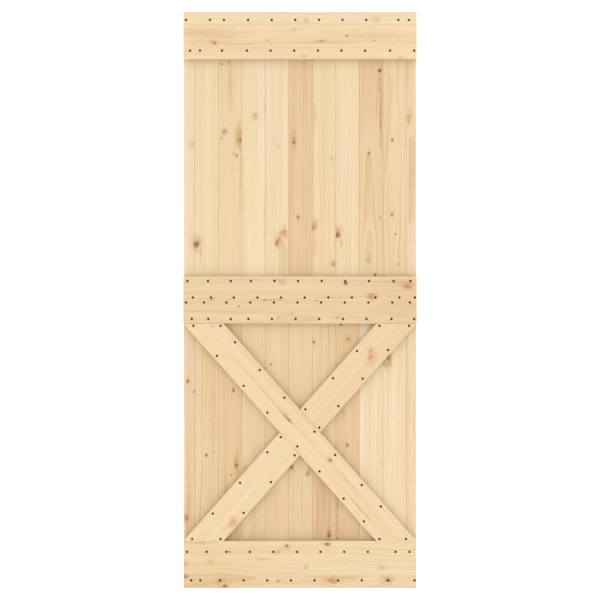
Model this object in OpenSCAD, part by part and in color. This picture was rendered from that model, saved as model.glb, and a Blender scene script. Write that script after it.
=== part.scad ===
// A planked barn door leaf. Tongue and groove planks stand in an upper and a lower row.
// Screws driven from the front hold them to three rails and to an X of braces in the lower bay.
// X runs across the door, Z is up and the front faces -Y.
// The origin is at the foot of the door, in the middle of its width and of its thickness.

/* [Door] */
// Width of the door
door_w = 850; // [700:10:1000]
// Height of the door
door_h = 2100; // [1900:10:2400]

/* [Planks] */
// Thickness of a plank
plank_t = 19; // [16:0.5:24]
// Width that a full plank covers, from joint to joint
plank_cover = 86; // [76:1:110]
// Narrowest plank that may be ripped for the edges of the door
ripped_min = 36; // [36:1:50]
// How far the planks are laid off centre, to the right
plank_shift = 2; // [-2:0.5:2]
// Open line between two neighbouring planks
plank_gap = 0.6; // [0.2:0.1:1]
// Open line where an upper plank stands on a lower one, behind the middle rail
plank_end_gap = 1; // [0.4:0.2:2]
// Chamfer along the long edges of a plank
plank_chamfer = 1; // [0.5:0.1:2]
// How far a tongue stands out of its plank
tongue_len = 5; // [4:0.5:9]
// Thickness of a tongue
tongue_t = 6; // [5:0.5:7]
// Chamfer along the tip of a tongue
tongue_chamfer = 1; // [0.5:0.1:1.5]
// Play all round a tongue in its groove
tongue_play = 0.3; // [0.2:0.1:0.5]

/* [Rails] */
// Width of a rail, measured up the door
rail_w = 172; // [130:1:200]
// Thickness of the rails and braces
rail_t = 19; // [16:0.5:24]
// Radius of the eased front edges of rails and braces
edge_r = 2; // [1:0.5:4]

/* [Braces] */
// Width of a brace
brace_w = 110; // [90:1:130]
// Saw-fit joint between a brace and what it butts against
brace_gap = 0.3; // [0.2:0.1:1]

/* [Screws] */
// Diameter of a countersunk screw head
head_d = 9; // [7:0.5:10]
// Height of the straight rim of a head
head_rim = 0.4; // [0.2:0.1:0.8]
// Diameter of a screw shank
shank_d = 4.5; // [3.5:0.5:5]
// Length of the tapered point of a screw
point_len = 6; // [4:0.5:8]
// How deep a head sits below the face of the wood
head_sink = 0.3; // [0.1:0.1:0.6]
// Wood left between the point of a screw and the back of the door
back_cover = 4; // [2:0.5:6]
// Play between a screw and its hole
screw_play = 0.1; // [0.05:0.05:0.2]

/* [Screw rows] */
// Distance of both rows on the top rail from its long edges
top_row_edge = 30; // [20:1:40]
// Distance of the outer rows on the middle rail from its long edges
middle_row_edge = 17; // [12:1:30]
// Distance of the inner rows on the middle rail from the plank ends behind it
plank_end_edge = 9; // [8:1:20]
// Distance of the upper row on the bottom rail from the top edge of that rail
bottom_upper_edge = 39; // [20:1:60]
// Distance of the lower row on the bottom rail from the foot of the door
bottom_lower_edge = 29; // [20:1:40]
// Distance of the screw lines along a brace from its long edges
brace_row_edge = 14; // [10:1:25]
// Distance of the end screws of a brace from its sawn end
brace_end_edge = 8; // [7:1:14]
// Distance of the end screws near the sharp tips of the long brace from the long edges there
long_tip_edge = 23; // [16:1:30]
// Distance of the end screw near the sharp tip of a half brace from the long edge there
half_tip_edge = 19; // [16:1:30]
// Distance of the first screw of a half brace from its butt end, on the side of its tip
butt_tip_edge = 9; // [8:1:20]
// Distance of the first screw of a half brace from its butt end, on the other side
butt_inner_edge = 15; // [8:1:20]
// Wood kept between a screw and the nearest joint of the planks
joint_keep = 0.5; // [0.5:0.5:3]

/* [Hidden] */
$fn = 48;
// How far a cut runs past the wood that it cuts
overcut = 1;
plank_colour = [0.93, 0.81, 0.63];
rail_colour = [0.95, 0.84, 0.68];
brace_colour = [0.96, 0.86, 0.70];
screw_colour = [0.20, 0.14, 0.09];

// Depth of the door
door_t = rail_t + plank_t;
front_y = -door_t / 2;
plank_y = front_y + rail_t;

// Plank layout: full planks, and what is left of the width as a ripped plank at each edge
full_planks = floor((door_w - 2 * ripped_min) / plank_cover);
plank_count = full_planks + 2;
left_plank_w = (door_w - full_planks * plank_cover) / 2 + plank_shift;
groove_depth = tongue_len - plank_gap + tongue_play;
groove_t = tongue_t + 2 * tongue_play;
mid_z = door_h / 2;
plank_len = mid_z - plank_end_gap / 2;

// The lower bay, between the bottom rail and the middle rail
middle_rail_z = mid_z - rail_w / 2;
top_rail_z = door_h - rail_w;
bay_bottom = rail_w;
bay_top = middle_rail_z;
bay_h = bay_top - bay_bottom;
bay_mid = (bay_top + bay_bottom) / 2;

// A brace runs from corner to corner, with each long edge through one corner of the bay
bay_diagonal = norm([door_w, bay_h]);
brace_angle = atan2(bay_h, door_w) + asin(brace_w / bay_diagonal);
brace_half_len = bay_h / 2 / sin(brace_angle);
brace_row = brace_w / 2 - brace_row_edge;
long_tip_row = brace_w / 2 - long_tip_edge;
half_tip_row = brace_w / 2 - half_tip_edge;

// A screw, from the face of its head to its point
screw_len = door_t - head_sink - back_cover;
head_r = head_d / 2;
shank_r = shank_d / 2;

// Where the screws of a row sit, one on each plank: on the first plank from the left edge of the door,
// on the second, on the third, on those between and on the last but one from the joint at its left,
// and on the last from the right edge of the door
top_upper_places = [10, 57, 22, 24, 55, 29];
top_lower_places = [25, 21, 15, 20, 25, 9];
middle_1_places = [15, 50, 47, 34, 38, 23];
middle_2_places = [35, 61, 58, 58, 59, 7];
middle_3_places = [10, 35, 31, 32, 33, 25];
middle_4_places = [31, 51, 47, 25, 30, 9];
bottom_upper_places = [14, 45, 31, 30, 45, 26];
bottom_lower_places = [29, 22, 3, 3, 18, 8];

// Stations of the screws along the long brace, from the crossing, as shares of its half length
long_stations = [-0.76, -0.505, -0.25, 0.06, 0.29, 0.54, 0.75];
// Stations along a half brace past its first screws, as shares of its length from the butt end
lower_left_tip_stations = [0.17, 0.45, 0.74];
lower_left_inner_stations = [0.335, 0.7];
upper_right_tip_stations = [0.22, 0.48, 0.75];
upper_right_inner_stations = [0.385, 0.69];

// The joint at the left of plank k, counted from 1
function joint_x(k) = -door_w / 2 + left_plank_w + (k - 2) * plank_cover;
function plank_left(k) = k == 1 ? -door_w / 2 : joint_x(k) + plank_gap / 2;
function plank_right(k) = k == plank_count ? door_w / 2 : joint_x(k + 1) - plank_gap / 2;

// A screw keeps clear of the groove, the tongue and the gap at a joint of the planks
keep_right = plank_gap / 2 + groove_depth + shank_r + screw_play + joint_keep;
keep_left = plank_gap / 2 + shank_r + screw_play + joint_keep;
function past_joint(x) = x - joint_x(2) - floor((x - joint_x(2)) / plank_cover) * plank_cover;
// The nearest clear place to x on its own plank
function on_plank(x) = x - past_joint(x) + min(max(past_joint(x), keep_right), plank_cover - keep_left);
// The nearest clear place to x on either side of a joint
function off_joint(x) =
    past_joint(x) < (keep_right - keep_left) / 2 ? x - past_joint(x) - keep_left : on_plank(x);

// Screw places as [x, z]
function row_x(k, places) =
    k == 1 ? -door_w / 2 + places[0] :
    k == plank_count ? door_w / 2 - places[5] :
    joint_x(k) + (k < 4 ? places[k - 1] : k < plank_count - 1 ? places[3] : places[4]);
function row(z, places) = [for (k = [1:plank_count]) [on_plank(row_x(k, places)), z]];

// A point on a brace that leans at an angle, along it and across it from the crossing
function on_brace(angle, along, across) =
    [along * cos(angle) - across * sin(angle), bay_mid + along * sin(angle) + across * cos(angle)];
// How far along the brace that line reaches height z
function along_at(angle, z, across) = (z - bay_mid - across * cos(angle)) / sin(angle);
// A screw on a brace is moved off a joint along the brace, and an end screw along the sawn end
function brace_screw(angle, along, across) =
    let (p = on_brace(angle, along, across), move = off_joint(p.x) - p.x)
        [p.x + move, p.y + move * tan(angle)];
function end_screw(angle, z, across) =
    [off_joint(on_brace(angle, along_at(angle, z, across), across).x), z];

top_rail_places = concat(
    row(door_h - top_row_edge, top_upper_places),
    row(top_rail_z + top_row_edge, top_lower_places));
middle_rail_places = concat(
    row(mid_z + rail_w / 2 - middle_row_edge, middle_1_places),
    row(mid_z + plank_end_edge, middle_2_places),
    row(mid_z - plank_end_edge, middle_3_places),
    row(mid_z - rail_w / 2 + middle_row_edge, middle_4_places));
bottom_rail_places = concat(
    row(bay_bottom - bottom_upper_edge, bottom_upper_places),
    row(bottom_lower_edge, bottom_lower_places));
long_brace_places = concat(
    [for (share = long_stations, side = [-1, 1])
        brace_screw(-brace_angle, share * brace_half_len, side * brace_row)],
    [end_screw(-brace_angle, bay_top - brace_end_edge, brace_row),
     end_screw(-brace_angle, bay_top - brace_end_edge, -long_tip_row),
     end_screw(-brace_angle, bay_bottom + brace_end_edge, long_tip_row),
     end_screw(-brace_angle, bay_bottom + brace_end_edge, -brace_row)]);

// A half brace starts at its butt end on the long brace; side is 1 for the upper right one
// and -1 for the lower left one, and across is counted from its tip side to its inner side
butt_stop = brace_w / 2 + brace_gap;
function butt_along(across) = (butt_stop - across * cos(2 * brace_angle)) / sin(2 * brace_angle);
function half_len(across) = along_at(brace_angle, bay_top, across) - butt_along(across);
function half_line(side, across, first, stations) =
    [for (run = concat([first], [for (share = stations) share * half_len(across)]))
        brace_screw(brace_angle, side * (butt_along(across) + run), side * across)];
function half_brace_places(side, tip_stations, inner_stations) = concat(
    half_line(side, -brace_row, butt_tip_edge, tip_stations),
    half_line(side, brace_row, butt_inner_edge, inner_stations),
    [end_screw(brace_angle, bay_mid + side * (bay_h / 2 - brace_end_edge), -side * half_tip_row),
     end_screw(brace_angle, bay_mid + side * (bay_h / 2 - brace_end_edge), side * brace_row)]);
lower_left_places = half_brace_places(-1, lower_left_tip_stations, lower_left_inner_stations);
upper_right_places = half_brace_places(1, upper_right_tip_stations, upper_right_inner_stations);
all_places = concat(top_rail_places, middle_rail_places, bottom_rail_places,
    long_brace_places, lower_left_places, upper_right_places);

// Half section of a countersunk screw, from its head down; play makes it a hole for that screw
module screw_section(play, above) {
    head = head_r + play;
    shank = shank_r + play;
    polygon([
        [0, -above],
        [head, -above],
        [head, head_rim],
        [shank, head_rim + head - shank],
        [shank, screw_len - point_len],
        [0, screw_len + play]]);
}

// A screw or its hole, at a place on the door, with its point to the back
module screw(place, play = 0, above = 0) {
    translate([place.x, front_y + head_sink, place.y])
        rotate([-90, 0, 0])
            rotate_extrude()
                screw_section(play, above);
}

module screws(places) {
    color(screw_colour)
        for (place = places)
            screw(place);
}

module screw_holes(places) {
    for (place = places)
        screw(place, screw_play, head_sink + overcut);
}

// Cross section of a plank, from its left face, with its front at y = 0
module plank_section(width, grooved, tongued) {
    difference() {
        union() {
            polygon([
                [plank_chamfer, 0],
                [width - plank_chamfer, 0],
                [width, plank_chamfer],
                [width, plank_t - plank_chamfer],
                [width - plank_chamfer, plank_t],
                [plank_chamfer, plank_t],
                [0, plank_t - plank_chamfer],
                [0, plank_chamfer]]);
            if (tongued)
                translate([width, plank_t / 2])
                    tongue_section();
        }
        if (grooved)
            translate([-overcut, (plank_t - groove_t) / 2])
                square([groove_depth + overcut, groove_t]);
    }
}

// A tongue, rooted in its plank and chamfered along its tip
module tongue_section() {
    root = -plank_chamfer;
    half = tongue_t / 2;
    polygon([
        [root, -half],
        [tongue_len - tongue_chamfer, -half],
        [tongue_len, tongue_chamfer - half],
        [tongue_len, half - tongue_chamfer],
        [tongue_len - tongue_chamfer, half],
        [root, half]]);
}

// Plank k from height z up, drilled for the screws that reach it
module plank(k, z) {
    left = plank_left(k);
    right = plank_right(k);
    reach = tongue_len + head_r;
    color(plank_colour)
        difference() {
            translate([left, plank_y, z])
                linear_extrude(plank_len)
                    plank_section(right - left, k > 1, k < plank_count);
            screw_holes([for (place = all_places)
                if (place.x > left - reach && place.x < right + reach
                    && place.y > z && place.y < z + plank_len) place]);
        }
}

module upper_plank(k) {
    plank(k, door_h - plank_len);
}

module lower_plank(k) {
    plank(k, 0);
}

// Cross section of a rail or brace: x runs in from the front face, y across the width.
// The two front edges are rounded over.
module eased_section(width) {
    translate([edge_r, -width / 2])
        square([rail_t - edge_r, width]);
    translate([0, edge_r - width / 2])
        square([rail_t, width - 2 * edge_r]);
    for (side = [-1, 1])
        translate([edge_r, side * (width / 2 - edge_r)])
            circle(edge_r);
}

// A rail across the door with its lower edge at height z, eased on all four front edges
module rail(z, places) {
    color(rail_colour)
        difference() {
            translate([0, front_y, z])
                intersection() {
                    translate([-door_w / 2, 0, rail_w / 2])
                        rotate([90, 0, 90])
                            linear_extrude(door_w)
                                eased_section(rail_w);
                    rotate([0, 0, 90])
                        linear_extrude(rail_w)
                            eased_section(door_w);
                }
            screw_holes(places);
        }
}

module top_rail() {
    rail(top_rail_z, top_rail_places);
}

module middle_rail() {
    rail(middle_rail_z, middle_rail_places);
}

module bottom_rail() {
    rail(0, bottom_rail_places);
}

// An endless brace through the crossing, leaning at an angle
module brace_strip(angle) {
    translate([0, front_y, bay_mid])
        rotate([0, -angle, 0])
            translate([-bay_diagonal / 2, 0, 0])
                rotate([90, 0, 90])
                    linear_extrude(bay_diagonal)
                        eased_section(brace_w);
}

// The lower bay, less the saw-fit joint at the rails
module bay() {
    translate([-door_w / 2, front_y - overcut, bay_bottom + brace_gap])
        cube([door_w, rail_t + 2 * overcut, bay_h - 2 * brace_gap]);
}

// The long brace runs in one piece from the upper left to the lower right
module long_brace() {
    color(brace_colour)
        difference() {
            intersection() {
                brace_strip(-brace_angle);
                bay();
            }
            screw_holes(long_brace_places);
        }
}

// Half of the other diagonal, sawn off against the long brace
module half_brace(side, places) {
    color(brace_colour)
        difference() {
            intersection() {
                brace_strip(brace_angle);
                bay();
                translate([0, front_y - overcut, bay_mid])
                    rotate([0, brace_angle, 0])
                        translate([-bay_diagonal, 0, side > 0 ? butt_stop : -butt_stop - bay_diagonal])
                            cube([2 * bay_diagonal, rail_t + 2 * overcut, bay_diagonal]);
            }
            screw_holes(places);
        }
}

module lower_left_brace() {
    half_brace(-1, lower_left_places);
}

module upper_right_brace() {
    half_brace(1, upper_right_places);
}

for (k = [1:plank_count]) {
    upper_plank(k);
    lower_plank(k);
}
top_rail();
middle_rail();
bottom_rail();
long_brace();
lower_left_brace();
upper_right_brace();
screws(top_rail_places);  // top_rail_screws
screws(middle_rail_places);  // middle_rail_screws
screws(bottom_rail_places);  // bottom_rail_screws
screws(long_brace_places);  // long_brace_screws
screws(lower_left_places);  // lower_left_brace_screws
screws(upper_right_places);  // upper_right_brace_screws
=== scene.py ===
# %% [markdown]
# # A planked barn door in raw pine
#
# The door is a leaf of tongue and groove planks, screwed from the front to three rails and an X of braces.
# The solids are already modelled at their real size, so this lesson gives them wood that grows in three
# dimensions, adds the screws with their cross recesses, and lights the door like a catalogue picture.
# Everything is in metres, X runs across the door, Z is up and the front faces -Y.

# %% Load the frame
import math
import random

import bmesh
import bpy
from mathutils import Matrix, Vector


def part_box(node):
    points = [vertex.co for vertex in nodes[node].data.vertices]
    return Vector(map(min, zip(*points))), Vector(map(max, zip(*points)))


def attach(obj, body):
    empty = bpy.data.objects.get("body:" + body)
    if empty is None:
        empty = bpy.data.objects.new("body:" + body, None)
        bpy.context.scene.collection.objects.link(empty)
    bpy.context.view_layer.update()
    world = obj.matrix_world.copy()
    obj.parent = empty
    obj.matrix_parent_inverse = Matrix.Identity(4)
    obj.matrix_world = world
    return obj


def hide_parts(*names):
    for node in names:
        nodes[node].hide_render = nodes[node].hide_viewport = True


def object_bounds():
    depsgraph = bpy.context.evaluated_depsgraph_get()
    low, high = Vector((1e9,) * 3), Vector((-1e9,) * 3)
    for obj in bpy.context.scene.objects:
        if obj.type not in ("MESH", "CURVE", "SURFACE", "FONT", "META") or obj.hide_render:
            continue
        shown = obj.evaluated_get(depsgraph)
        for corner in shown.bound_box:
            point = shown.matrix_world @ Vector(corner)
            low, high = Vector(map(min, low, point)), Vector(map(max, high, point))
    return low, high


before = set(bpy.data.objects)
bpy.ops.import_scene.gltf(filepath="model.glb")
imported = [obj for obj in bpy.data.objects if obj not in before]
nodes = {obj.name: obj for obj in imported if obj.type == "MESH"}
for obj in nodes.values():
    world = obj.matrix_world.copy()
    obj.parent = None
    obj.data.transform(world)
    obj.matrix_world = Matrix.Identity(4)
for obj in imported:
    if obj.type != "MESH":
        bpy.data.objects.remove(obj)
MM = 0.001

cad_low, cad_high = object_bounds()
door_size = cad_high - cad_low
door_middle = (cad_low + cad_high) / 2
print("door", [round(side / MM) for side in door_size], "mm,", len(nodes), "nodes")

# %% [markdown]
# ## The camera
#
# The door is seen straight on, from the height of its middle. A long lens a few steps away keeps the edges
# parallel but still shows a sliver of the undersides of the rails. The lens follows from how much of the
# square picture the door's height fills, so the framing stays right if the door changes size.

# %% Camera
IMAGE_PX = 600
DOOR_PX = 576.8
CAMERA_DISTANCE = 4.0
SENSOR_MM = 36

view_width = door_size.z * IMAGE_PX / DOOR_PX
lens = bpy.data.cameras.new("front_camera")
lens.sensor_width = SENSOR_MM
lens.lens = SENSOR_MM * CAMERA_DISTANCE / view_width
camera = bpy.data.objects.new("front_camera", lens)
camera.location = (door_middle.x, cad_low.y - CAMERA_DISTANCE, door_middle.z)
camera.rotation_euler = (math.radians(90), 0, 0)
bpy.context.scene.collection.objects.link(camera)
bpy.context.scene.camera = camera
print("lens", round(lens.lens, 1), "mm")

# %% [markdown]
# ## A few words for nodes
#
# A wood material is a long sum, and node code gets hard to read when each node takes five lines.
# These helpers add one node per call: a socket that is passed in gets linked, a number is set as a value.

# %% Node helpers
WHITE = (1, 1, 1, 1)


def node(tree, kind, inputs=None, **options):
    """Adds a node, sets its options, then feeds its inputs."""
    made = tree.nodes.new("ShaderNode" + kind)
    for option, value in options.items():
        setattr(made, option, value)
    for key, value in (inputs or {}).items():
        if isinstance(value, bpy.types.NodeSocket):
            tree.links.new(value, made.inputs[key])
        else:
            made.inputs[key].default_value = value
    return made


def calc(tree, operation, *values):
    """The result of a Math node."""
    return node(tree, "Math", dict(enumerate(values)), operation=operation).outputs[0]


def vector(tree, operation, *values):
    """The result of a Vector Math node, a number for lengths and dot products and a vector otherwise."""
    keys = (0, "Scale") if operation == "SCALE" else range(len(values))
    made = node(tree, "VectorMath", dict(zip(keys, values)), operation=operation)
    return made.outputs["Value" if operation in ("LENGTH", "DOT_PRODUCT") else "Vector"]


def stretch(tree, place, across, along):
    """Scales a place for a pattern that is drawn out along the grain."""
    return vector(tree, "MULTIPLY", place, (across, across, along))


def noise(tree, place, detail=2.0, roughness=0.5):
    """A soft noise at that place, with features about one unit wide."""
    inputs = {"Vector": place, "Scale": 1.0, "Detail": detail, "Roughness": roughness}
    return node(tree, "TexNoise", inputs).outputs


def ramp(tree, value, start, end, low=0.0, high=1.0):
    """A smooth step from low to high as value goes from start to end."""
    inputs = {"Value": value, "From Min": start, "From Max": end, "To Min": low, "To Max": high}
    return node(tree, "MapRange", inputs, interpolation_type="SMOOTHSTEP").outputs["Result"]


def blend(tree, share, first, second):
    """Mixes two colours."""
    made = node(tree, "Mix", {0: share, 6: first, 7: second}, data_type="RGBA")
    return made.outputs[2]


def falloff(tree, distance, rate):
    """One at no distance, then a smooth bell."""
    squared = calc(tree, "MULTIPLY", distance, distance)
    return calc(tree, "EXPONENT", calc(tree, "MULTIPLY", squared, -rate))


def node_group(name, inputs, outputs):
    """A new node group, with its input sockets and its output sockets."""
    tree = bpy.data.node_groups.new(name, "ShaderNodeTree")
    for way, sockets in (("INPUT", inputs), ("OUTPUT", outputs)):
        for socket, kind in sockets.items():
            tree.interface.new_socket(socket, in_out=way, socket_type="NodeSocket" + kind)
    return tree, tree.nodes.new("NodeGroupInput").outputs, tree.nodes.new("NodeGroupOutput").inputs


# %% [markdown]
# ## Light
#
# A flat thing is pictured best with soft lamps all round the camera: each face shows its own colour, and the
# rails and braces shade a few centimetres of the planks beside them, alike on all sides. A white world does
# the same when it is brighter to the sides than straight in front, and dimmer again beside the door, or the
# edges of the boards would glare. A light from one corner would be livelier, but its hard shadows would hide
# the joints. The lamps are brighter than white, which leaves the wood as dark as raw pine really is: a paler
# wood under less light would fill its own corners with reflected orange.
# The Standard view keeps the colours as they are set.

# %% Light
FRONT_STRENGTH = 1.18
RING_STRENGTH = 2.45
RIM_SHARE = 0.5
# How straight ahead a direction points: 1 along the camera's axis, 0 in the plane of the door
RING_AHEAD = 0.6
RIM_AHEAD = 0.45

scene = bpy.context.scene
scene.view_settings.view_transform = "Standard"
scene.view_settings.look = "None"
scene.world = bpy.data.worlds.new("light_tent")
scene.world.use_nodes = True
tent_tree = scene.world.node_tree
tent = tent_tree.nodes["Background"]
tent.inputs["Color"].default_value = WHITE
direction = node(tent_tree, "SeparateXYZ", {0: node(tent_tree, "NewGeometry").outputs["Normal"]}).outputs
ahead = calc(tent_tree, "ABSOLUTE", direction["Y"])
lamps = ramp(tent_tree, ahead, 1.0, RING_AHEAD, FRONT_STRENGTH, RING_STRENGTH)
dimming = ramp(tent_tree, ahead, 0.0, RIM_AHEAD, RIM_SHARE, 1.0)
tent_tree.links.new(calc(tent_tree, "MULTIPLY", lamps, dimming), tent.inputs["Strength"])
print("lamps from", FRONT_STRENGTH, "in front to", RING_STRENGTH, "round the camera")

# %% [markdown]
# ## Floor
#
# The door stands on a sweep of pale paper. Under strong lamps such paper glows a little, so that the light
# from below matches the light from above. A curved sweep would hide the horizon, but only its flat part is
# near the door, so a disc with a faint glow of its own is enough.

# %% Floor
FLOOR_RADIUS = 6.0
FLOOR_SIDES = 64
FLOOR_DROP = 2 * MM
FLOOR_GREY = 0.5
FLOOR_ROUGHNESS = 0.9
FLOOR_GLOW = 1.2

paper = bpy.data.materials.new("white_paper")
paper.use_nodes = True
paper_finish = paper.node_tree.nodes["Principled BSDF"]
paper_finish.inputs["Base Color"].default_value = (FLOOR_GREY, FLOOR_GREY, FLOOR_GREY, 1)
paper_finish.inputs["Roughness"].default_value = FLOOR_ROUGHNESS
paper_finish.inputs["Specular IOR Level"].default_value = 0
paper_finish.inputs["Emission Color"].default_value = WHITE
paper_finish.inputs["Emission Strength"].default_value = FLOOR_GLOW


def mesh_piece(name, bm, material):
    """Turns a finished bmesh into an object at the origin."""
    mesh = bpy.data.meshes.new(name)
    bm.to_mesh(mesh)
    bm.free()
    mesh.materials.append(material)
    piece = bpy.data.objects.new(name, mesh)
    bpy.context.scene.collection.objects.link(piece)
    return piece


bm = bmesh.new()
bmesh.ops.create_circle(bm, cap_ends=True, segments=FLOOR_SIDES, radius=FLOOR_RADIUS)
bmesh.ops.translate(bm, verts=bm.verts, vec=(0, 0, cad_low.z - FLOOR_DROP))
floor = mesh_piece("floor", bm, paper)
print("floor", 2 * FLOOR_RADIUS, "m across")

# %% [markdown]
# ## Growth rings
#
# A board is a slice of a trunk. The trunk's rings are cylinders about its pith, so the pattern depends only
# on the distance from the pith: planks cut beside the pith show straight lines, and planks cut across
# the rings show the pointed arches that carpenters call cathedrals. A flat wood picture could not do this,
# and it would not turn the corner onto the end grain, so the rings are worked out in three dimensions.
# The trunk isn't quite straight, so the boards wander a little round its pith and the lines ripple.

# %% Growth rings
# Features per metre, across and along the grain, and how far they bend the trunk
WANDER_SCALE = (6.0, 1.6)
RIPPLE_SCALE = (18.0, 6.0)
WANDER_REACH = 30 * MM
RIPPLE_REACH = 10 * MM


def sway(tree, place, detail, reach):
    """A shift across the grain, from a noise at that place."""
    centred = vector(tree, "SUBTRACT", noise(tree, place, detail)["Color"], (0.5, 0.5, 0.5))
    return vector(tree, "MULTIPLY", centred, (reach, reach, 0.0))


rings, given, made = node_group(
    "growth_rings",
    {
        "Place": "Vector",
        "Pith": "Vector",
        "Tilt": "Float",
        "Ring": "Float",
        "Shift": "Float",
        "Seed": "Float",
    },
    {"Late": "Float", "Band": "Float", "Blush": "Float", "Fibre": "Float", "Fleck": "Float"},
)
seed_step = node(rings, "CombineXYZ", {axis: given["Seed"] for axis in "XYZ"}).outputs[0]
spot = vector(rings, "ADD", given["Place"], seed_step)
wander = sway(rings, stretch(rings, spot, *WANDER_SCALE), detail=3.0, reach=WANDER_REACH)
ripple = sway(rings, stretch(rings, spot, *RIPPLE_SCALE), detail=1.0, reach=RIPPLE_REACH)
bent = vector(rings, "SUBTRACT", given["Place"], given["Pith"])
bent = vector(rings, "ADD", vector(rings, "ADD", bent, wander), ripple)
parts = node(rings, "SeparateXYZ", {"Vector": bent}).outputs
leaning = calc(rings, "MULTIPLY_ADD", parts["Z"], given["Tilt"], parts["Y"])
flat_place = node(rings, "CombineXYZ", {"X": parts["X"], "Y": leaning}).outputs[0]
radius = calc(rings, "ADD", vector(rings, "LENGTH", flat_place), given["Shift"])
print("distance from the pith:", len(rings.nodes), "nodes")

# %% [markdown]
# ## Good and bad years
#
# Wet and dry years give wide and narrow rings, and pale and dark ones. Each ring goes slowly from pale early
# wood to a darker line of late wood, then stops short. A Wave texture would draw the lines as well, but all
# alike: here a noise shifts the count of years, and the number of each year picks its darkness.

# %% Good and bad years
YEAR_SCALE = 0.45
YEAR_SCATTER = 1.6
YEAR_CONTRAST = 1.5
# Shares of a year in which late wood begins and ends
LATE_BEGINS = (0.15, 0.88)
LATE_ENDS = (1.0, 0.90)
# Where the lines are clear, and what is left of them elsewhere
CLEAR_SCALE = (14.0, 1.5)
CLEAR_EDGE = (0.36, 0.62)
CLEAR_LEAST = 0.15

years = calc(rings, "DIVIDE", radius, given["Ring"])
year_place = node(rings, "CombineXYZ", {"X": years, "Y": given["Seed"]}).outputs[0]
uneven = noise(rings, stretch(rings, year_place, YEAR_SCALE, 1.0))["Fac"]
count = calc(rings, "MULTIPLY_ADD", uneven, YEAR_SCATTER, years)
season = calc(rings, "FRACT", count)
whole_years = calc(rings, "FLOOR", count)
year = node(rings, "TexWhiteNoise", {"W": whole_years}, noise_dimensions="1D").outputs["Value"]
late = calc(rings, "MULTIPLY", ramp(rings, season, *LATE_BEGINS), ramp(rings, season, *LATE_ENDS))
late = calc(rings, "MULTIPLY", late, calc(rings, "POWER", year, YEAR_CONTRAST))
clear = noise(rings, stretch(rings, spot, *CLEAR_SCALE))["Fac"]
clear = ramp(rings, clear, *CLEAR_EDGE, CLEAR_LEAST, 1.0)
rings.links.new(calc(rings, "MULTIPLY", late, clear), made["Late"])
print("with the years:", len(rings.nodes), "nodes")

# %% [markdown]
# ## Bands, fibres and resin
#
# Between the rings pine has bands of colour two centimetres wide, a slow blush from yellow to pink, fine
# fibres, and the short dark dashes of resin ducts. All of them run with the grain, so each is a noise that is
# drawn out along it. They could be painted on, but a noise fits a board of any length.

# %% Bands, fibres and resin
BAND_SCALE = (42.0, 1.0)
BAND_EDGE = (0.26, 0.74)
BLUSH_SCALE = (16.0, 2.2)
BLUSH_EDGE = (0.32, 0.68)
FIBRE_SCALE = (700.0, 14.0)
DUCT_SCALE = (900.0, 60.0)
DUCT_EDGE = (0.70, 0.80)
# Takes the blush from another part of the noise than the bands
BLUSH_STEP = (3.7, 1.9, 5.3)

band = noise(rings, stretch(rings, spot, *BAND_SCALE), detail=4.0, roughness=0.65)["Fac"]
rings.links.new(ramp(rings, band, *BAND_EDGE), made["Band"])
blush_spot = vector(rings, "ADD", spot, BLUSH_STEP)
blush = noise(rings, stretch(rings, blush_spot, *BLUSH_SCALE), detail=1.0)["Fac"]
rings.links.new(ramp(rings, blush, *BLUSH_EDGE), made["Blush"])
fibre = noise(rings, stretch(rings, spot, *FIBRE_SCALE), roughness=0.6)["Fac"]
rings.links.new(fibre, made["Fibre"])
ducts = noise(rings, stretch(rings, spot, *DUCT_SCALE), detail=0.0)["Fac"]
rings.links.new(ramp(rings, ducts, *DUCT_EDGE), made["Fleck"])
print("growth rings:", len(rings.nodes), "nodes")

# %% [markdown]
# ## Knots
#
# A knot is a branch that the trunk grew round. The board cuts it as an ellipse, the wood above and below it
# is stained, and the grain flows round it. All of that depends on the distance from the knot measured in
# knot sizes. One group works it out for one knot and passes on what the knots before it did, so a board has
# as many knots as it needs in a chain. A noise could scatter knots with less work, but not to a chosen place.
# The stain is drawn out along the grain, where resin travels most easily.

# %% Knots
# All distances are in knot sizes
CORE_EDGE = (1.2, 0.7)
HALO_SHORTENING = 0.7
HALO_WOBBLE = 1.5
HALO_RATE = 0.7

knot, given, made = node_group(
    "knot",
    {
        "Place": "Vector",
        "Wobble": "Float",
        "Centre": "Vector",
        "Across": "Vector",
        "Along": "Vector",
        "Heart": "Color",
        "Halo": "Color",
        "Core": "Float",
        "Stain": "Float",
        "Bulge": "Float",
        "Shift": "Float",
        "Tint": "Color",
    },
    {"Shift": "Float", "Tint": "Color"},
)
away = vector(knot, "SUBTRACT", given["Place"], given["Centre"])
across = vector(knot, "DOT_PRODUCT", away, given["Across"])
along = vector(knot, "DOT_PRODUCT", away, given["Along"])
flat_away = node(knot, "CombineXYZ", {"X": across, "Y": along}).outputs[0]
reach = calc(knot, "ADD", given["Wobble"], vector(knot, "LENGTH", flat_away))
far_along = calc(knot, "MULTIPLY", along, HALO_SHORTENING)
drawn_out = vector(knot, "LENGTH", node(knot, "CombineXYZ", {"X": across, "Y": far_along}).outputs[0])
halo = falloff(knot, calc(knot, "MULTIPLY_ADD", given["Wobble"], HALO_WOBBLE, drawn_out), HALO_RATE)
core = calc(knot, "MULTIPLY", ramp(knot, reach, *CORE_EDGE), given["Core"])
stain = blend(knot, calc(knot, "MULTIPLY", halo, given["Stain"]), WHITE, given["Halo"])
stained = vector(knot, "MULTIPLY", given["Tint"], blend(knot, core, stain, given["Heart"]))
knot.links.new(calc(knot, "MULTIPLY_ADD", halo, given["Bulge"], given["Shift"]), made["Shift"])
print("core and stain:", len(knot.nodes), "nodes")

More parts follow.
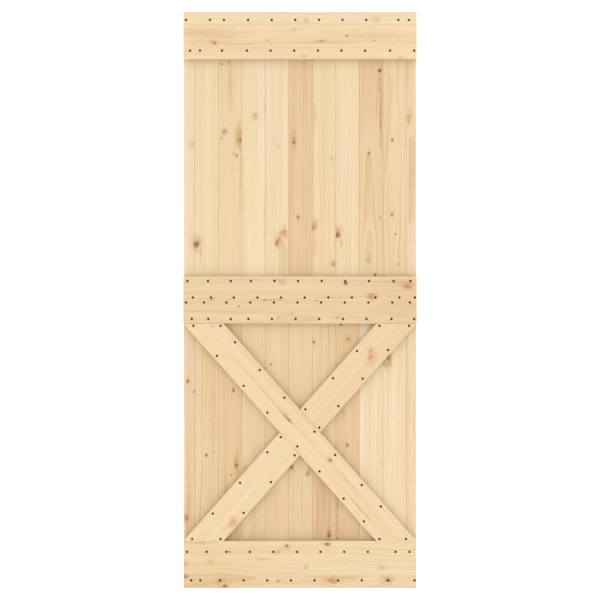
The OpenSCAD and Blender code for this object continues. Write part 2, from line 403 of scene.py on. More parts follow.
# %% [markdown]
# ## The face of a knot
#
# The bark left round a branch makes a dark rim. Inside are the branch's own rings, and checks that run out
# from the heart as it dries. The rim and the rings follow the distance that is already there. The checks come
# from a noise on a circle round the knot, so they are straight spokes, which a noise on the flat board would
# not give.

# %% The face of a knot
INSIDE_EDGE = (1.0, 0.6)
RIM_AT = 0.95
RIM_RATE = 60.0
OWN_RING_RATE = 18.0
OWN_RING_SHARE = 0.3
CHECK_CIRCLE = 1.6
CHECK_EDGE = (0.025, 0.005)
MARK_DEPTH = 0.3

rim = falloff(knot, calc(knot, "SUBTRACT", reach, RIM_AT), RIM_RATE)
inside = ramp(knot, reach, *INSIDE_EDGE)
waves = calc(knot, "SINE", calc(knot, "MULTIPLY", reach, OWN_RING_RATE))
own_rings = calc(knot, "MULTIPLY", waves, inside)
circle = vector(knot, "SCALE", vector(knot, "NORMALIZE", flat_away), CHECK_CIRCLE)
spoke = noise(knot, vector(knot, "ADD", circle, given["Centre"]), detail=0.0)["Fac"]
off_spoke = calc(knot, "ABSOLUTE", calc(knot, "SUBTRACT", spoke, 0.5))
checks = calc(knot, "MULTIPLY", ramp(knot, off_spoke, *CHECK_EDGE), inside)
marks = calc(knot, "MULTIPLY_ADD", own_rings, OWN_RING_SHARE, calc(knot, "MAXIMUM", rim, checks))
dark = calc(knot, "MULTIPLY_ADD", calc(knot, "MULTIPLY", marks, given["Core"]), -MARK_DEPTH, 1.0)
knot.links.new(vector(knot, "SCALE", stained, dark), made["Tint"])
print("knot:", len(knot.nodes), "nodes")

# %% [markdown]
# ## Patches
#
# A wide pine board is rarely one piece and rarely one colour. Staves are glued edge to edge, and heartwood
# shows as a darker stretch. Both are a box in the board's own directions with a sharp or a soft edge.
# The sharp ones also get a thin glue line. Staves could be boards of their own, but the solids are one board
# each, and a glued joint is flush anyway.

# %% Patches
patch, given, made = node_group(
    "patch",
    {"Place": "Vector", "Middle": "Vector", "Half": "Vector", "Edge": "Float"},
    {"Inside": "Float", "Line": "Float"},
)
away = vector(patch, "ABSOLUTE", vector(patch, "SUBTRACT", given["Place"], given["Middle"]))
parts = node(patch, "SeparateXYZ", {"Vector": vector(patch, "SUBTRACT", away, given["Half"])}).outputs
beyond = calc(patch, "MAXIMUM", parts["X"], parts["Z"])
inner_edge = calc(patch, "MULTIPLY", given["Edge"], -1.0)
patch.links.new(ramp(patch, beyond, given["Edge"], inner_edge), made["Inside"])
patch.links.new(falloff(patch, calc(patch, "DIVIDE", beyond, given["Edge"]), 1.0), made["Line"])
print("patch:", len(patch.nodes), "nodes")

# %% [markdown]
# ## The tones of the pine
#
# No two boards come from the same tree, so each gets one of a few tones, from nearly white sapwood to amber
# heartwood. They are written as screen colours, which are easy to compare with a sample, and turned into the
# linear values that a shader works in.

# %% Tones
TONES = {
    "milk": (245, 222, 185),
    "cream": (244, 219, 180),
    "straw": (243, 216, 176),
    "shell": (247, 217, 178),
    "peach": (241, 212, 171),
    "beige": (238, 210, 170),
    "rose": (239, 210, 175),
    "tan": (236, 207, 165),
    "honey": (235, 203, 160),
    "amber": (228, 192, 149),
}
# The lamps are brighter than white, so the wood gives back a share of its tone
WOOD_SHARE = 0.5


def linear(colour):
    """A screen colour, 0 to 255, as linear light."""
    shares = [part / 255 for part in colour]
    return tuple(s / 12.92 if s <= 0.04045 else ((s + 0.055) / 1.055) ** 2.4 for s in shares)


def wood_colour(tree, tone):
    """The colour of a tone under the bright lamps."""
    made = node(tree, "RGB").outputs[0]
    made.default_value = (*[part * WOOD_SHARE for part in linear(TONES[tone])], 1)
    return made


print(len(TONES), "tones of pine")

# %% [markdown]
# ## Kinds of knots and of grain
#
# A branch cut straight across leaves a round knot or a small pin, and one that only brushed the board leaves
# a smudge. Resin runs along the grain as flames, streaks and stripes, and drying opens cracks and splits.
# A group for each would be clearer, but they differ only in length and strength, so one table gives all of
# them. Knots multiply the wood under them, so their colours are the shares of red, green and blue that are
# left. The grain depends on how far from the pith the board was sawn.

# %% Kinds of knots and of grain
# The heart of a knot and the stain round it
HEARTS = {
    "brown": ((0.52, 0.41, 0.26), (0.66, 0.48, 0.24)),
    "dark": ((0.36, 0.27, 0.16), (0.58, 0.43, 0.26)),
    "red": ((0.54, 0.32, 0.24), (0.66, 0.36, 0.22)),
    "pink": ((0.70, 0.49, 0.41), (0.90, 0.56, 0.46)),
    "orange": ((0.62, 0.43, 0.26), (0.74, 0.47, 0.18)),
    "olive": ((0.57, 0.50, 0.36), (0.60, 0.53, 0.38)),
}
# Length over width, strength of the core, of the stain and of the bend in the grain
KNOT_KINDS = {
    "round": (1.2, 0.95, 0.45, 0.9),
    "pin": (1.2, 0.90, 0.20, 0.5),
    "smudge": (0.9, 0.0, 0.50, 0.6),
    "flame": (2.4, 0.20, 0.55, 0.3),
    "burl": (1.2, 0.25, 0.65, 0.6),
    "streak": (7.0, 0.0, 0.45, 0.1),
    "stripe": (14.0, 0.0, 0.35, 0.0),
    "crack": (45.0, 0.0, 0.40, 0.0),
    "split": (25.0, 0.0, 0.85, 0.0),
}
# In millimetres the pith's distance to one side, its depth and the width of a ring, then the strength of
# the late wood
GRAINS = {
    "plain": (130, 50, 6.0, 0.60),
    "calm": (110, 40, 8.0, 0.70),
    "lined": (80, 25, 7.0, 1.00),
    "bold": (70, 25, 9.0, 1.50),
    "arched": (8, 40, 8.0, 1.70),
    "wide": (8, 60, 10.0, 0.90),
    "broad": (60, 35, 8.0, 1.20),
}
print(len(KNOT_KINDS), "kinds of knots in", len(HEARTS), "colours,", len(GRAINS), "kinds of grain")

# %% [markdown]
# ## Knots and staves of one board
#
# The knots of a board are a chain of groups, and each passes on its bend and its stain. Patches are mixed
# one over the other in the same way. Their places are written in the door's millimetres, as a carpenter
# would measure them, and own_place turns them into the board's own directions. A branch leans, so its knot
# comes out a little higher on the back of the board. A glued stave comes from another trunk, so it shifts
# the seed of the grain as well.

# %% Knots and staves of one board
# Noise that makes the outline of a knot uneven, in features per metre and in knot sizes
LUMP_SCALE = (80.0, 50.0)
LUMP_REACH = 0.9
BRANCH_LEAN = 0.35
# Patches with an edge up to this many millimetres are glued staves
GLUE_EDGE = 0.8
STAVE_SEEDS = (3, 9)


def add_knots(tree, place, own_place, knots):
    """Chains the knots, (x, z, half width, kind, heart), and gives their bend and their tint."""
    lumps = noise(tree, stretch(tree, place, *LUMP_SCALE))["Fac"]
    lumps = calc(tree, "MULTIPLY_ADD", lumps, 2 * LUMP_REACH, -LUMP_REACH)
    bend, tint = 0.0, WHITE
    for x, z, half_width, kind, heart in knots:
        longer, core, stain, bulge = KNOT_KINDS[kind]
        size = half_width * MM
        inputs = {
            "Place": place,
            "Wobble": lumps,
            "Centre": own_place(x, z),
            "Across": (1 / size, 0, 0),
            "Along": (0, -BRANCH_LEAN / (size * longer), 1 / (size * longer)),
            "Heart": (*HEARTS[heart][0], 1),
            "Halo": (*HEARTS[heart][1], 1),
            "Core": core,
            "Stain": stain,
            "Bulge": bulge * size,
            "Shift": bend,
            "Tint": tint,
        }
        bend, tint = node(tree, "Group", inputs, node_tree=knot).outputs
    return bend, tint


def add_patches(tree, place, own_place, patches, base, seed, chance):
    """Mixes in the patches, (x, z, far x, far z, edge, tone), and gives the colour, seed and glue lines."""
    glue = 0.0
    for x, z, far_x, far_z, edge, tone in patches:
        corner, far_corner = own_place(x, z), own_place(far_x, far_z)
        half = [abs(part) for part in (far_corner - corner) / 2]
        inputs = {"Place": place, "Middle": (corner + far_corner) / 2, "Half": half, "Edge": edge * MM}
        inside, line = node(tree, "Group", inputs, node_tree=patch).outputs
        base = blend(tree, inside, base, wood_colour(tree, tone))
        if edge <= GLUE_EDGE:
            seed = calc(tree, "MULTIPLY_ADD", inside, chance.uniform(*STAVE_SEEDS), seed)
            glue = calc(tree, "MAXIMUM", glue, line)
    return base, seed, glue


# %% [markdown]
# ## The colours of the grain
#
# Late wood, bands, fibres, resin dashes and glue lines all darken or warm the tone of the board. Each is
# a tint, the share of red, green and blue that it leaves, and tints are multiplied. Mixing in fixed colours
# instead would make pale and dark boards alike.

# %% Colours of the grain
LATE_TINT = (0.90, 0.82, 0.69)
BAND_PALE = (1.03, 1.045, 1.07)
BAND_DEEP = (0.96, 0.925, 0.865)
YELLOW = (0.99, 1.0, 0.945)
PINK = (1.01, 0.996, 1.02)
FLECK_TINT = (0.80, 0.66, 0.48)
FLECK_SHARE = 0.35
FIBRE_SPREAD = 0.16
GLUE_TINT = (0.90, 0.85, 0.77)


def tinted(tree, colour, share, tint):
    """The colour, multiplied by the tint as far as share says."""
    return vector(tree, "MULTIPLY", colour, blend(tree, share, WHITE, (*tint, 1)))


def grain_colour(tree, base, grown, strength, glue):
    """The tone of a board with its bands, late wood, resin dashes, glue lines and fibres."""
    colour = vector(tree, "MULTIPLY", base, blend(tree, grown["Band"], (*BAND_PALE, 1), (*BAND_DEEP, 1)))
    colour = vector(tree, "MULTIPLY", colour, blend(tree, grown["Blush"], (*YELLOW, 1), (*PINK, 1)))
    colour = tinted(tree, colour, calc(tree, "MULTIPLY", grown["Late"], strength), LATE_TINT)
    colour = tinted(tree, colour, calc(tree, "MULTIPLY", grown["Fleck"], FLECK_SHARE), FLECK_TINT)
    colour = tinted(tree, colour, glue, GLUE_TINT)
    fibre = calc(tree, "MULTIPLY_ADD", grown["Fibre"], FIBRE_SPREAD, 1 - FIBRE_SPREAD / 2)
    return vector(tree, "SCALE", colour, fibre)


# %% [markdown]
# ## Sawn ends and chamfers
#
# Sawn ends drink more light, so the end grain is darker. The chamfers are painted paler, partly as a painted
# highlight along the eased edges and partly for the paleness of freshly cut wood.
# An end faces along the grain, and a chamfer is slanted between the front and an edge, so the direction that
# a face points to tells them apart. A second material would need marked faces on every board.

# %% Sawn ends and chamfers
END_TINT = (0.82, 0.74, 0.62)
END_FACING = (0.6, 0.95)
# A painted highlight on the chamfers, with some of the paleness of freshly cut wood
CHAMFER_HIGHLIGHT_TINT = (1.18, 1.18, 1.18)
CHAMFER_FROM = (0.5, 0.65)
CHAMFER_TO = (0.9, 0.75)


def sawn_ends_and_edge_highlight(tree, colour, normal, grain_axis):
    """The colour, darker on the end grain, and paler on the chamfers as a painted highlight with the paleness
    of fresh cuts.
    """
    facing = calc(tree, "ABSOLUTE", vector(tree, "DOT_PRODUCT", normal, grain_axis))
    colour = tinted(tree, colour, ramp(tree, facing, *END_FACING), END_TINT)
    outward = calc(tree, "ABSOLUTE", node(tree, "SeparateXYZ", {0: normal}).outputs["Y"])
    # Painted highlight: the chamfers are lifted, partly for the paleness of fresh cuts
    slanted = calc(tree, "MULTIPLY", ramp(tree, outward, *CHAMFER_FROM), ramp(tree, outward, *CHAMFER_TO))
    return tinted(tree, colour, slanted, CHAMFER_HIGHLIGHT_TINT)


# %% [markdown]
# ## The pine itself
#
# One function makes the finish of one board. A Mapping node turns the door's own coordinates so that X runs
# across the board, Y through it and Z along its grain, whichever way the board lies. Then come the knots and
# the patches, the rings that bend round the knots, and the colours. A board planed by machine is matt, with
# a faint relief where the hard late wood stands out. Where in its trunk a board was sawn is drawn by chance,
# with the board's name as the seed, so the door comes out the same each time.

# %% Pine
# From least to most: the spread of a board's grain, the tilt of its pith and the seed of its noise
GRAIN_SPREAD = (0.8, 1.25)
PITH_TILT = (0.012, 0.03)
SEEDS = (0, 40)
RELIEF = 0.3 * MM
RELIEF_STRENGTH = 0.25
LATE_RELIEF = 0.5
ROUGH_LEAST = 0.5
ROUGH_SPREAD = 0.2
GLOSS = 0.25


def pine(name, tone, grain, knots=(), patches=(), turn=0.0):
    """Gives the board of that name its own pine, with the grain turned about Y."""
    chance = random.Random(name)
    side, depth, ring, strength = [part * chance.uniform(*GRAIN_SPREAD) for part in GRAINS[grain]]
    side *= chance.choice((-1, 1))
    tilt = chance.choice((-1, 1)) * chance.uniform(*PITH_TILT)
    seed = chance.uniform(*SEEDS)
    low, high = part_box(name)
    centre = (low + high) / 2
    turned = Matrix.Rotation(turn, 3, "Y")

    def own_place(x, z):
        """A place on the board's front, from the door's millimetres to the board's own directions."""
        return turned @ (Vector((x * MM, low.y, z * MM)) - centre)

    material = bpy.data.materials.new(name + "_pine")
    material.use_nodes = True
    tree = material.node_tree
    finish = tree.nodes["Principled BSDF"]
    coordinates = node(tree, "TexCoord").outputs
    mapping = {"Vector": coordinates["Object"], "Location": -(turned @ centre), "Rotation": (0, turn, 0)}
    place = node(tree, "Mapping", mapping).outputs[0]

    bend, tint = add_knots(tree, place, own_place, knots)
    base = wood_colour(tree, tone)
    base, seed, glue = add_patches(tree, place, own_place, patches, base, seed, chance)
    inputs = {
        "Place": place,
        "Pith": (side * MM, depth * MM, 0),
        "Tilt": tilt,
        "Ring": ring * MM,
        "Shift": bend,
        "Seed": seed,
    }
    grown = node(tree, "Group", inputs, node_tree=rings).outputs

    colour = grain_colour(tree, base, grown, strength, glue)
    if knots:
        colour = vector(tree, "MULTIPLY", colour, tint)
    grain_axis = turned.transposed() @ Vector((0, 0, 1))
    colour = sawn_ends_and_edge_highlight(tree, colour, coordinates["Normal"], grain_axis)
    tree.links.new(colour, finish.inputs["Base Color"])

    height = calc(tree, "MULTIPLY_ADD", grown["Late"], LATE_RELIEF, grown["Fibre"])
    bump = node(tree, "Bump", {"Strength": RELIEF_STRENGTH, "Distance": RELIEF, "Height": height})
    tree.links.new(bump.outputs[0], finish.inputs["Normal"])
    roughness = calc(tree, "MULTIPLY_ADD", grown["Fibre"], ROUGH_SPREAD, ROUGH_LEAST)
    tree.links.new(roughness, finish.inputs["Roughness"])
    finish.inputs["Specular IOR Level"].default_value = GLOSS
    for slot in nodes[name].material_slots:
        slot.material = material
    print(name, tone, grain, "with", len(knots), "knots and", len(patches), "patches")


# %% [markdown]
# ## The upper planks
#
# Eleven planks stand side by side behind the top and the middle rail. Most are cream or straw, with one honey
# plank in the middle and one at the right that darkens towards its top. A carpenter takes such boards as they
# come, so each is written down with its own tone, grain and knots instead of being drawn by chance.
# The knots sit where the saw met a branch, often right at an edge, where the next plank shows the rest of it
# or nothing.

# %% Upper planks
SEAM_KNOT = [(-379, 1252, 9, "round", "red"), (-378, 1264, 15, "smudge", "red")]
# Tone, grain, knots (x, z, half width, kind, heart) and patches (x, z, far x, far z, edge, tone)
UPPER_PLANKS = {
    1: ("milk", "calm", [(-395, 1621, 8, "smudge", "olive"), *SEAM_KNOT]),
    2: ("cream", "calm", [*SEAM_KNOT, (-362, 1216, 2.5, "streak", "olive")]),
    3: (
        "straw",
        "lined",
        [
            (-289, 1913, 3, "pin", "brown"),
            (-262, 1926, 7, "smudge", "brown"),
            (-255, 1850, 8, "streak", "orange"),
            (-275, 1665, 8, "burl", "brown"),
            (-288, 1641, 3, "pin", "dark"),
            (-223, 1648, 11, "flame", "orange"),
            (-219, 1637, 4, "round", "brown"),
            (-233, 1580, 5, "round", "brown"),
            (-244, 1586, 3, "pin", "brown"),
            (-217, 1525, 5, "stripe", "orange"),
        ],
    ),
    4: (
        "milk",
        "calm",
        [
            (-168, 1720, 9, "smudge", "olive"),
            (-160, 1729, 5, "smudge", "olive"),
            (-130, 1752, 2, "stripe", "olive"),
            (-130, 1382, 2, "stripe", "olive"),
            (-130, 1295, 2, "streak", "dark"),
        ],
    ),
    5: (
        "milk",
        "calm",
        [
            (-93, 1640, 4, "smudge", "olive"),
            (-80, 1613, 4, "smudge", "olive"),
            (-58, 1294, 13, "burl", "orange"),
            (-77, 1267, 10, "burl", "orange"),
            (-53, 1301, 3, "pin", "red"),
            (-84, 1257, 8, "burl", "red"),
        ],
        [(-77, 1245, -41, 1130, 12, "tan")],
    ),
    6: (
        "honey",
        "lined",
        [
            (-20, 1634, 7, "flame", "orange"),
            (-21, 1627, 5, "round", "brown"),
            (-7, 1354, 4.5, "round", "brown"),
        ],
    ),
    7: (
        "straw",
        "calm",
        [
            (54, 1727, 3, "streak", "olive"),
            (53, 1322, 8, "burl", "red"),
            (51, 1314, 3, "pin", "red"),
            (54, 1262, 5, "streak", "pink"),
            (116, 1567, 6, "smudge", "olive"),
            (121, 1183, 9, "smudge", "brown"),
            (123, 1180, 3, "pin", "olive"),
        ],
    ),
    8: (
        "cream",
        "calm",
        [(138, 1288, 9, "round", "red"), (138, 1302, 14, "smudge", "red"), (152, 1254, 3, "flame", "olive")],
    ),
    9: (
        "peach",
        "arched",
        [
            (293, 1888, 6, "round", "dark"),
            (295, 1716, 2.5, "split", "dark"),
            (290, 1850, 3, "streak", "brown"),
            (280, 1778, 2.5, "stripe", "brown"),
            (252, 1586, 5, "round", "brown"),
            (294, 1352, 2.5, "pin", "red"),
            (249, 1202, 10, "smudge", "olive"),
            (249, 1200, 2.5, "pin", "olive"),
            (275, 1142, 4.5, "round", "dark"),
        ],
        [(217, 1960, 310, 1500, 250, "tan"), (217, 1960, 310, 1720, 90, "honey")],
    ),
    10: (
        "straw",
        "arched",
        [
            (337, 1635, 5, "round", "brown"),
            (337, 1363, 5, "round", "olive"),
            (349, 1290, 3.5, "pin", "dark"),
            (359, 1181, 5, "smudge", "olive"),
        ],
    ),
    11: (
        "straw",
        "lined",
        [
            (398, 1713, 7, "flame", "brown"),
            (401, 1520, 2.5, "crack", "brown"),
            (395, 1900, 3, "stripe", "brown"),
            (418, 1560, 5, "stripe", "olive"),
        ],
        [(401, 1640, 413, 1340, 14, "amber")],
    ),
}
for k, board in UPPER_PLANKS.items():
    pine(f"upper_plank_{k}", *board)

# %% [markdown]
# ## The lower planks
#
# The lower row butts against the upper one behind the middle rail, so its planks are other pieces of wood:
# a pink-streaked one at the left edge, honey and beige ones behind the braces and pale sapwood at the right.
# Most of them are painted darker low down, a painted shade where the bottom rail and the braces shade the
# planks. It is one more patch, wider than the door, whose soft edge lies a little above the bottom rail.

# %% Lower planks
# The painted shade over the bottom of a lower plank: its top and its soft edge, in millimetres
FOOT_SHADE_HEIGHT = 225
FOOT_SHADE_EDGE = 45
PAST_EDGE = 600


def painted_foot_shade(tone, height=FOOT_SHADE_HEIGHT, edge=FOOT_SHADE_EDGE):
    """A patch of painted shade, a deeper tone over the bottom of a plank."""
    return (-PAST_EDGE, height, PAST_EDGE, 0, edge, tone)


LOWER_PLANKS = {
    1: (
        "rose",
        "bold",
        [
            (-411, 753, 6, "round", "orange"),
            (-387, 715, 3, "round", "brown"),
            (-408, 330, 7, "stripe", "pink"),
            (-416, 252, 9, "burl", "red"),
        ],
        [painted_foot_shade("honey", 300, 60)],
    ),
    2: (
        "beige",
        "bold",
        [
            (-387, 715, 3, "round", "brown"),
            (-342, 482, 4.5, "round", "dark"),
            (-316, 640, 7, "stripe", "pink"),
        ],
    ),
    3: (
        "honey",
        "bold",
        [
            (-243, 720, 5, "round", "brown"),
            (-232, 450, 9, "flame", "brown"),
            (-232, 445, 4, "round", "brown"),
            (-251, 409, 3, "pin", "dark"),
        ],
        [painted_foot_shade("amber")],
    ),
    4: (
        "beige",
        "calm",
        [(-203, 441, 3, "streak", "brown"), (-164, 255, 8, "stripe", "pink")],
        [painted_foot_shade("honey")],
    ),
    5: ("beige", "calm", [(-105, 815, 3, "pin", "dark")], [(-118, 365, -46, 190, 25, "honey")]),
    6: (
        "beige",
        "calm",
        [
            (-33, 440, 5, "round", "brown"),
            (-35, 444, 10, "smudge", "brown"),
            (27, 413, 3, "round", "brown"),
            (28, 416, 7, "smudge", "brown"),
            (36, 434, 6, "smudge", "olive"),
            (8, 275, 1.8, "crack", "brown"),
            (-26, 345, 1.5, "crack", "olive"),
            (21, 235, 1.5, "crack", "orange"),
        ],
        [painted_foot_shade("honey", 215)],
    ),
    7: (
        "beige",
        "bold",
        [
            (50, 897, 5, "round", "brown"),
            (87, 335, 1.5, "crack", "red"),
            (109, 275, 1.3, "crack", "red"),
            (66, 255, 1.5, "crack", "brown"),
            (105, 193, 6, "flame", "red"),
            (105, 188, 3.5, "pin", "red"),
        ],
        [(30, 430, 146, 0, 60, "amber")],
    ),
    8: (
        "honey",
        "bold",
        [
            (175, 907, 9, "smudge", "brown"),
            (176, 907, 3, "pin", "brown"),
            (150, 960, 4.5, "round", "dark"),
            (173, 520, 5, "round", "brown"),
            (154, 638, 7, "smudge", "olive"),
            (137, 262, 2.4, "split", "dark"),
        ],
        [painted_foot_shade("amber")],
    ),
    9: (
        "milk",
        "calm",
        [(299, 452, 6, "smudge", "olive"), (309, 826, 12, "smudge", "olive")],
        # Painted shade: the bottom, and a peach band just under the middle rail, where the rail and the brace
        # shade this pale plank
        [painted_foot_shade("tan"), (-PAST_EDGE, 1150, PAST_EDGE, 940, 30, "peach")],
    ),
    10: (
        "milk",
        "calm",
        [
            (309, 826, 12, "smudge", "olive"),
            (308, 822, 8, "smudge", "olive"),
            (326, 836, 10, "flame", "orange"),
            (325, 838, 5, "burl", "brown"),
        ],
    ),
    11: ("straw", "bold"),
}
for k, board in LOWER_PLANKS.items():
    pine(f"lower_plank_{k}", *board)

# %% [markdown]
# ## The rails
#
# The rails lie across the planks, so their grain runs along X: the pattern is turned a quarter about Y.
# They are the widest boards, glued up from staves: the top rail has a pale stave along its upper edge, and
# the bottom rail a short pale one let in on the right.

# %% Rails
RAIL_TURN = math.radians(-90)
RAILS = {
    "top_rail": (
        "shell",
        "wide",
        [
            (-311, 1984, 4, "pin", "olive"),
            (-311, 1988, 8, "smudge", "brown"),
            (-117, 1996, 2.5, "pin", "brown"),
            (79, 1993, 4, "flame", "olive"),
            (77, 1993, 2, "pin", "olive"),
            (171, 2013, 3, "pin", "brown"),
            (273, 1993, 2, "flame", "olive"),
            (360, 1998, 4, "smudge", "brown"),
            (366, 1933, 5, "smudge", "brown"),
            (11, 1937, 5, "smudge", "brown"),
            (-186, 2057, 3, "smudge", "brown"),
            (22, 2068, 8, "smudge", "olive"),
            (275, 2072, 9, "smudge", "olive"),
            (-22, 2035, 5, "smudge", "olive"),
            (-230, 1982, 1.6, "crack", "orange"),
            (60, 1988, 1.6, "crack", "brown"),
            (300, 2012, 1.6, "crack", "brown"),
        ],
        [(-430, 2053, 430, 2105, 0.8, "milk"), (-402, 2045, -240, 1975, 20, "peach")],
    ),
    "middle_rail": (
        "beige",
        "broad",
        [
            (-66, 1117, 9, "smudge", "olive"),
            (-129, 1049, 3.5, "pin", "brown"),
            (-105, 1050, 3, "streak", "brown"),
            (-222, 1027, 2.5, "pin", "brown"),
            (-321, 1052, 6, "smudge", "brown"),
            (262, 1064, 9, "burl", "red"),
            (391, 1100, 9, "burl", "red"),
            (62, 1046, 3, "pin", "brown"),
            (-29, 1002, 4, "smudge", "olive"),
            (-80, 984, 4, "smudge", "brown"),
            (137, 984, 5, "smudge", "brown"),
            (166, 1111, 5, "round", "dark"),
            (300, 1116, 1.6, "crack", "brown"),
            (-165, 1123, 1.6, "crack", "brown"),
            (131, 1060, 1.3, "split", "brown"),
            (364, 1112, 1.3, "split", "brown"),
        ],
        [(300, 950, 470, 1150, 70, "honey"), (-450, 950, 205, 1003, 14, "peach")],
    ),
    "bottom_rail": (
        "straw",
        "broad",
        [
            (-47, 155, 4, "round", "dark"),
            (-47, 153, 8, "smudge", "brown"),
            (-80, 133, 8, "smudge", "brown"),
            (-257, 133, 3, "pin", "brown"),
            (-370, 165, 4, "streak", "brown"),
            (-138, 108, 3, "streak", "olive"),
            (-325, 96, 9, "smudge", "olive"),
            (-417, 93, 9, "smudge", "brown"),
            (-415, 42, 6, "round", "olive"),
            (-290, 24, 9, "smudge", "orange"),
            (-275, 9, 6, "round", "brown"),
            (-80, 27, 4, "round", "olive"),
            (20, 78, 6, "smudge", "olive"),
            (300, 78, 9, "smudge", "olive"),
            (100, 163, 8, "round", "red"),
            (116, 29, 11, "burl", "red"),
            (113, 27, 3.5, "pin", "red"),
            (320, 31, 11, "burl", "red"),
            (178, 38, 3, "streak", "brown"),
        ],
        [
            (-450, -20, -190, 190, 110, "peach"),
            (-450, -20, -260, 45, 15, "tan"),
            (115, 96, 450, 190, 25, "cream"),
            (26, 47, 440, 96, 0.8, "milk"),
        ],
    ),
}
for name, board in RAILS.items():
    pine(name, *board, turn=RAIL_TURN)

# %% [markdown]
# ## The braces
#
# Each brace runs from corner to corner of the lower bay, with each long edge through one corner. Its slope
# follows from the bay and from the brace's own width, so the grain is turned by exactly that slope.
# Two of them are glued up from two staves, with the glue line along their middle.

# %% Braces
BRACE_WIDTH = 110 * MM
bay_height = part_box("middle_rail")[0].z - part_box("bottom_rail")[1].z
slope = math.atan2(bay_height, door_size.x) + math.asin(BRACE_WIDTH / math.hypot(door_size.x, bay_height))
falling = math.radians(90) - slope
rising = math.radians(90) + slope

pine(
    "long_brace",
    "straw",
    "plain",
    [
        (-318, 958, 6, "smudge", "olive"),
        (-128, 711, 2.4, "crack", "brown"),
        (-64, 638, 3, "streak", "brown"),
        (-46, 620, 6, "flame", "brown"),
        (-42, 615, 3, "pin", "brown"),
        (109, 468, 4, "round", "olive"),
        (110, 470, 8, "smudge", "brown"),
        (179, 384, 2.4, "stripe", "brown"),
        (224, 284, 1.7, "split", "brown"),
    ],
    [(-591, 1113, 531, -30, 0.8, "shell")],
    falling,
)
pine("lower_left_brace", "straw", "plain", [(-245, 236, 12, "burl", "pink")], [], rising)
pine(
    "upper_right_brace",
    "straw",
    "plain",
    [(260, 838, 14, "smudge", "pink"), (257, 866, 7, "burl", "pink"), (257, 845, 7, "burl", "pink")],
    [(8, 561, 591, 1113, 0.8, "peach")],
    rising,
)
print("braces lean", round(math.degrees(slope), 1), "degrees")

# %% [markdown]
# ## The cross recess
#
# The screws are dark countersunk wood screws with a cross recess that narrows towards its bottom. The face
# of the head is cut by planes into a grid, and the cells that make the cross are pushed in and drawn
# together. A boolean could cut it as well, but these steps give the same few clean faces on every screw.

# %% Cross recess
CROSS_REACH = 2.5 * MM
CROSS_HALF_WIDTH = 0.6 * MM
CROSS_DEPTH = 1.8 * MM
CROSS_TAPER = 0.55
TOUCH = 0.01 * MM


def head_faces(bm):
    """The faces on top of the head."""
    return [face for face in bm.faces if abs(face.calc_center_median().z) < TOUCH]


def in_cross(face):
    """True where a cell of the head belongs to the cross recess."""
    spot = face.calc_center_median()
    narrow, wide = sorted((abs(spot.x), abs(spot.y)))
    return narrow < CROSS_HALF_WIDTH and wide < CROSS_REACH


def press_cross(bm):
    """Presses the cross recess into the head, whose face is at z = 0."""
    for axis in (Vector((1, 0, 0)), Vector((0, 1, 0))):
        for reach in (-CROSS_REACH, -CROSS_HALF_WIDTH, CROSS_HALF_WIDTH, CROSS_REACH):
            cap = head_faces(bm)
            geom = cap + list({edge for face in cap for edge in face.edges})
            geom += list({vert for face in cap for vert in face.verts})
            bmesh.ops.bisect_plane(bm, geom=geom, plane_co=axis * reach, plane_no=axis, dist=TOUCH / 10)
    cross = [face for face in head_faces(bm) if in_cross(face)]
    pushed = bmesh.ops.extrude_face_region(bm, geom=cross)["geom"]
    verts = [part for part in pushed if isinstance(part, bmesh.types.BMVert)]
    bmesh.ops.delete(bm, geom=cross, context="FACES")
    bmesh.ops.scale(bm, verts=verts, vec=(CROSS_TAPER, CROSS_TAPER, 1))
    bmesh.ops.translate(bm, verts=verts, vec=(0, 0, -CROSS_DEPTH))


print("cross recess", round(2 * CROSS_REACH / MM, 1), "mm across")

# %% [markdown]
# ## One screw
#
# A screw is a turned part: the edge of a disc is extruded down level by level as rim, cone, shank and point.
# Spinning a profile would give the same, but the disc keeps its face for the cross recess. The thread is
# inside the wood, so it is left out.

# %% One screw
HEAD_SIDES = 20
HEAD_RADIUS = 4.5 * MM
SHANK_RADIUS = 2.25 * MM
RIM_HEIGHT = 0.4 * MM
POINT_LENGTH = 6.0 * MM
RIM_BEVEL = 0.15 * MM


def screw_mesh(length):
    """A screw with the face of its head at z = 0 and its point straight down."""
    bm = bmesh.new()
    bmesh.ops.create_circle(bm, cap_ends=True, segments=HEAD_SIDES, radius=HEAD_RADIUS)
    skirt = [edge for edge in bm.edges if edge.is_boundary]
    levels = [
        (HEAD_RADIUS, RIM_HEIGHT),
        (SHANK_RADIUS, RIM_HEIGHT + HEAD_RADIUS - SHANK_RADIUS),
        (SHANK_RADIUS, length - POINT_LENGTH),
        (0.0, length),
    ]
    ring_radius, depth = HEAD_RADIUS, 0.0
    for next_radius, next_depth in levels:
        grown = bmesh.ops.extrude_edge_only(bm, edges=skirt)["geom"]
        verts = [part for part in grown if isinstance(part, bmesh.types.BMVert)]
        skirt = [part for part in grown if isinstance(part, bmesh.types.BMEdge)]
        share = next_radius / ring_radius
        bmesh.ops.scale(bm, verts=verts, vec=(share, share, 1))
        bmesh.ops.translate(bm, verts=verts, vec=(0, 0, depth - next_depth))
        ring_radius, depth = next_radius, next_depth
    bmesh.ops.remove_doubles(bm, verts=bm.verts, dist=TOUCH)
    rim = [edge for edge in bm.edges if all(vert.co.z > -RIM_HEIGHT / 10 for vert in edge.verts)]
    bmesh.ops.bevel(bm, geom=rim, offset=RIM_BEVEL, affect="EDGES", segments=2, profile=0.5, material=-1)
    press_cross(bm)
    bmesh.ops.recalc_face_normals(bm, faces=bm.faces)
    mesh = bpy.data.meshes.new("screw")
    bm.to_mesh(mesh)
    bm.free()
    return mesh


print("screw heads", round(2 * HEAD_RADIUS / MM, 1), "mm across")

# %% [markdown]
# ## The finish of the screws
#
# Wood screws of this sort are phosphated and oiled: a warm brown black, mottled and nearly matt. It is too
# dark for a metal shader to show much, so a plain dark surface with little gloss does as well.

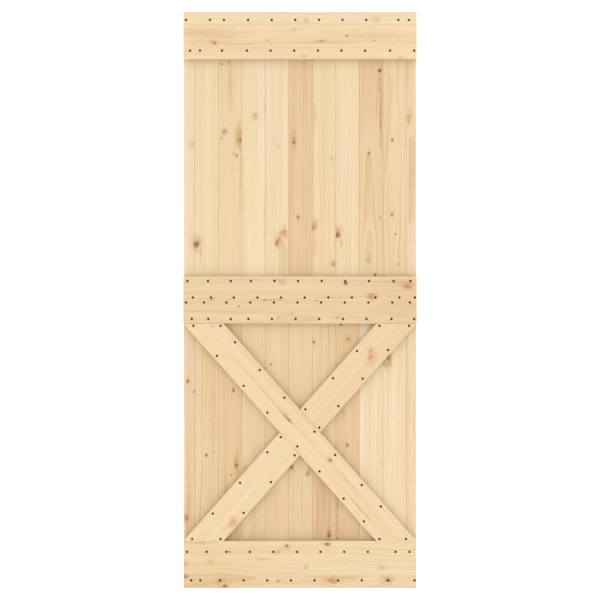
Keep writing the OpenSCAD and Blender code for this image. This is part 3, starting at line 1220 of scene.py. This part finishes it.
# %% Screw finish
MOTTLE_SCALE = (900.0, 900.0)
OILED = (0.036, 0.012, 0.001, 1)
RUBBED = (0.062, 0.024, 0.003, 1)
MOTTLE_EDGE = (0.3, 0.7)
DULL_EDGE = (0.2, 0.8)
SCREW_ROUGHNESS = (0.45, 0.65)
SCREW_GLOSS = 0.04

phosphate = bpy.data.materials.new("phosphated_steel")
phosphate.use_nodes = True
tree = phosphate.node_tree
finish = tree.nodes["Principled BSDF"]
spot = node(tree, "TexCoord").outputs["Object"]
mottle = noise(tree, stretch(tree, spot, *MOTTLE_SCALE))["Fac"]
tree.links.new(blend(tree, ramp(tree, mottle, *MOTTLE_EDGE), OILED, RUBBED), finish.inputs["Base Color"])
tree.links.new(ramp(tree, mottle, *DULL_EDGE, *SCREW_ROUGHNESS), finish.inputs["Roughness"])
finish.inputs["Specular IOR Level"].default_value = SCREW_GLOSS
print(phosphate.name, "with", len(tree.nodes), "nodes")

# %% [markdown]
# ## All the screws
#
# Each rail and each brace has its own set of screws, which replaces the plain ones of the frame. The point
# of a screw is the only place that reaches the greatest depth, so the points in the frame tell where
# the copies go, and no list of places can go stale. Nobody lines up the recesses when driving screws, so each
# copy is turned by chance.

# %% All screws
chance = random.Random("screws")
for name in [name for name in nodes if name.endswith("_screws")]:
    low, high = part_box(name)
    tips = [vert.co for vert in nodes[name].data.vertices if vert.co.y > high.y - TOUCH]
    places = sorted({(round(tip.x / MM, 1), round(tip.z / MM, 1)) for tip in tips})
    one = screw_mesh(high.y - low.y)
    bm = bmesh.new()
    for x, z in places:
        first = len(bm.verts)
        bm.from_mesh(one)
        bm.verts.ensure_lookup_table()
        verts = bm.verts[first:]
        spin = Matrix.Rotation(chance.uniform(0, math.pi / 2), 3, "Z")
        bmesh.ops.rotate(bm, verts=verts, matrix=Matrix.Rotation(math.radians(90), 3, "X") @ spin)
        bmesh.ops.translate(bm, verts=verts, vec=(x * MM, low.y, z * MM))
    bpy.data.meshes.remove(one)
    group = mesh_piece("dark_" + name, bm, phosphate)
    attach(group, "root")
    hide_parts(name)
    print(group.name, len(places), "screws,", len(group.data.polygons), "faces")
